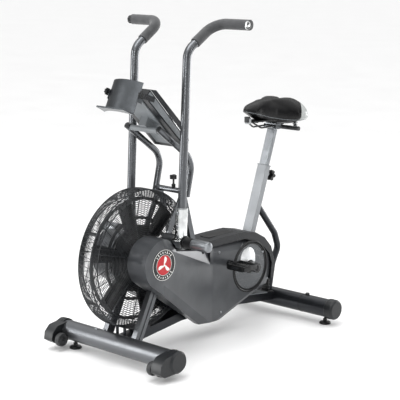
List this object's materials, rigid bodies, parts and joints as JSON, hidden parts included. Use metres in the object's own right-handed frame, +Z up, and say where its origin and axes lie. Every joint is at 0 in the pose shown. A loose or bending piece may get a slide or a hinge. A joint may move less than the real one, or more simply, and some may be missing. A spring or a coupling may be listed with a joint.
{
  "type": "air bike",
  "caption": "Upright exercise bike: caged fan wheel driven by pedals through a belt, swinging handles, sprung saddle on a telescoping post, console on a tubular mast.",
  "frame": {"origin": "on the floor below the middle of the bounding box", "axes": "front of the machine (fan) faces -Y, +X is the rider's left, +Z up"},
  "size_m": [0.68, 1.19, 1.28],
  "materials": {
    "frame_grey": "satin metallic powder coat",
    "handle_grey": "satin metallic powder coat",
    "silver_paint": "satin silver paint",
    "silver_metal": "satin plated steel",
    "black_metal": "semi-gloss black paint",
    "black_plastic": "moulded, fine grain",
    "crank_plastic": "moulded, fine grain",
    "console_black": "moulded, satin",
    "cover_black": "moulded, fine grain",
    "shroud_grey": "moulded in metallic graphite, semi-gloss",
    "trim_grey": "moulded, satin",
    "chrome": "polished",
    "steel": "turned",
    "pulley_alloy": "cast, turned rim",
    "grip_foam": "closed-cell foam",
    "wheel_rubber": "moulded",
    "belt_rubber": "moulded",
    "saddle_vinyl": "glossy coated vinyl",
    "badge_red": "domed resin",
    "display_gloss": "clear window over dark print"
  },
  "bodies": {
    "root": {"badges": "badge_red", "bearings": "steel", "cage_faces": "black_metal", "cage_rim": "black_metal", "console_body": "console_black", "console_display": "display_gloss", "console_support": "silver_paint", "crank_support": "frame_grey", "drive_belt": "belt_rubber", "foot_pegs": "chrome", "front_caps": "black_plastic", "front_stabilizer": "frame_grey", "front_struts": "frame_grey", "lever_shafts": "steel", "main_beam": "frame_grey", "mast_foot": "silver_paint", "mast_tubes": "handle_grey", "rear_brace": "frame_grey", "rear_caps": "black_plastic", "rear_stabilizer": "frame_grey", "seat_guide": "black_plastic", "seat_tube": "silver_paint", "shroud_left": "shroud_grey", "shroud_right": "shroud_grey", "shroud_screws": "steel", "top_cover": "cover_black", "tread_plate": "trim_grey"},
    "crank": {"crank_axle": "steel", "crank_discs": "crank_plastic", "drive_pulley": "pulley_alloy", "crank_arm_left": "black_metal", "crank_arm_right": "black_metal", "pedal_spindles": "steel"},
    "fan": {"fan_wheel": "black_metal", "fan_axle": "steel", "fan_pulley": "pulley_alloy"},
    "pedal_left": {"pedal_left": "black_plastic"},
    "pedal_right": {"pedal_right": "black_plastic"},
    "lever_left": {"lever_socket_left": "chrome", "handle_tube_left": "handle_grey", "grip_left": "grip_foam"},
    "lever_right": {"lever_socket_right": "chrome", "handle_tube_right": "handle_grey", "grip_right": "grip_foam"},
    "seat": {"seat_post": "silver_metal", "saddle_clamp": "silver_metal", "saddle_rails": "black_metal", "saddle_bumpers": "belt_rubber", "saddle": "saddle_vinyl"},
    "seat_pin": {"seat_pin": "black_plastic"},
    "wheel_left": {"transport_wheel_left": "wheel_rubber"},
    "wheel_right": {"transport_wheel_right": "wheel_rubber"},
    "front_foot_left": {"front_foot_left": "black_plastic"},
    "front_foot_right": {"front_foot_right": "black_plastic"},
    "rear_foot_left": {"rear_foot_left": "black_plastic"},
    "rear_foot_right": {"rear_foot_right": "black_plastic"},
    "holder": {"holder": "console_black"},
    "mast_knob": {"mast_knob": "black_plastic"},
    "button_left": {"console_button_left": "trim_grey"},
    "button_right": {"console_button_right": "trim_grey"}
  },
  "joints": [
    {"name": "crank_spin", "type": "hinge", "parent": "root", "child": "crank", "pos_m": [0, 0.263, 0.252], "axis": [1, 0, 0], "continuous": true},
    {"name": "fan_spin", "type": "hinge", "parent": "root", "child": "fan", "pos_m": [0, -0.327, 0.384], "axis": [1, 0, 0], "continuous": true},
    {"name": "pedal_left_spin", "type": "hinge", "parent": "crank", "child": "pedal_left", "pos_m": [0.16, 0.09959, 0.29886], "axis": [1, 0, 0], "continuous": true},
    {"name": "pedal_right_spin", "type": "hinge", "parent": "crank", "child": "pedal_right", "pos_m": [-0.16, 0.42641, 0.20514], "axis": [1, 0, 0], "continuous": true},
    {"name": "lever_left_swing", "type": "hinge", "parent": "root", "child": "lever_left", "pos_m": [0.137, -0.227, 0.452], "axis": [1, 0, 0], "range_deg": [-12, 12]},
    {"name": "lever_right_swing", "type": "hinge", "parent": "root", "child": "lever_right", "pos_m": [-0.137, -0.227, 0.452], "axis": [1, 0, 0], "range_deg": [-12, 12]},
    {"name": "seat_height", "type": "slide", "parent": "root", "child": "seat", "axis": [0, 0.3338, 0.9426], "range_m": [-0.12, 0.08]},
    {"name": "seat_pin_pull", "type": "slide", "parent": "root", "child": "seat_pin", "axis": [0, 0.9426, -0.3338], "range_m": [0, 0.012], "stiffness_N_per_m": 400, "springref_m": -0.005},
    {"name": "wheel_left_spin", "type": "hinge", "parent": "root", "child": "wheel_left", "pos_m": [0.251, -0.494, 0.046], "axis": [1, 0, 0], "continuous": true},
    {"name": "wheel_right_spin", "type": "hinge", "parent": "root", "child": "wheel_right", "pos_m": [-0.251, -0.494, 0.046], "axis": [1, 0, 0], "continuous": true},
    {"name": "front_foot_left_turn", "type": "hinge", "parent": "root", "child": "front_foot_left", "pos_m": [0.238, -0.432, 0.02], "axis": [0, 0, 1], "continuous": true},
    {"name": "front_foot_right_turn", "type": "hinge", "parent": "root", "child": "front_foot_right", "pos_m": [-0.238, -0.432, 0.02], "axis": [0, 0, 1], "continuous": true},
    {"name": "rear_foot_left_turn", "type": "hinge", "parent": "root", "child": "rear_foot_left", "pos_m": [0.281, 0.495, 0.02], "axis": [0, 0, 1], "continuous": true},
    {"name": "rear_foot_right_turn", "type": "hinge", "parent": "root", "child": "rear_foot_right", "pos_m": [-0.281, 0.495, 0.02], "axis": [0, 0, 1], "continuous": true},
    {"name": "holder_tilt", "type": "hinge", "parent": "root", "child": "holder", "pos_m": [0, -0.381, 1.015], "axis": [1, 0, 0], "range_deg": [-20, 20]},
    {"name": "mast_knob_turn", "type": "hinge", "parent": "root", "child": "mast_knob", "pos_m": [0.012, -0.135, 0.65], "axis": [0, 0, 1], "continuous": true},
    {"name": "button_left_press", "type": "slide", "parent": "root", "child": "button_left", "axis": [0, -0.7071, -0.7071], "range_m": [0, 0.0015], "stiffness_N_per_m": 500, "springref_m": -0.001},
    {"name": "button_right_press", "type": "slide", "parent": "root", "child": "button_right", "axis": [0, -0.7071, -0.7071], "range_m": [0, 0.0015], "stiffness_N_per_m": 500, "springref_m": -0.001}
  ],
  "couplings": [
    {"joint": "fan_spin", "follows": "crank_spin", "ratio": 3.5429},
    {"joint": "lever_right_swing", "follows": "lever_left_swing", "ratio": -1}
  ]
}
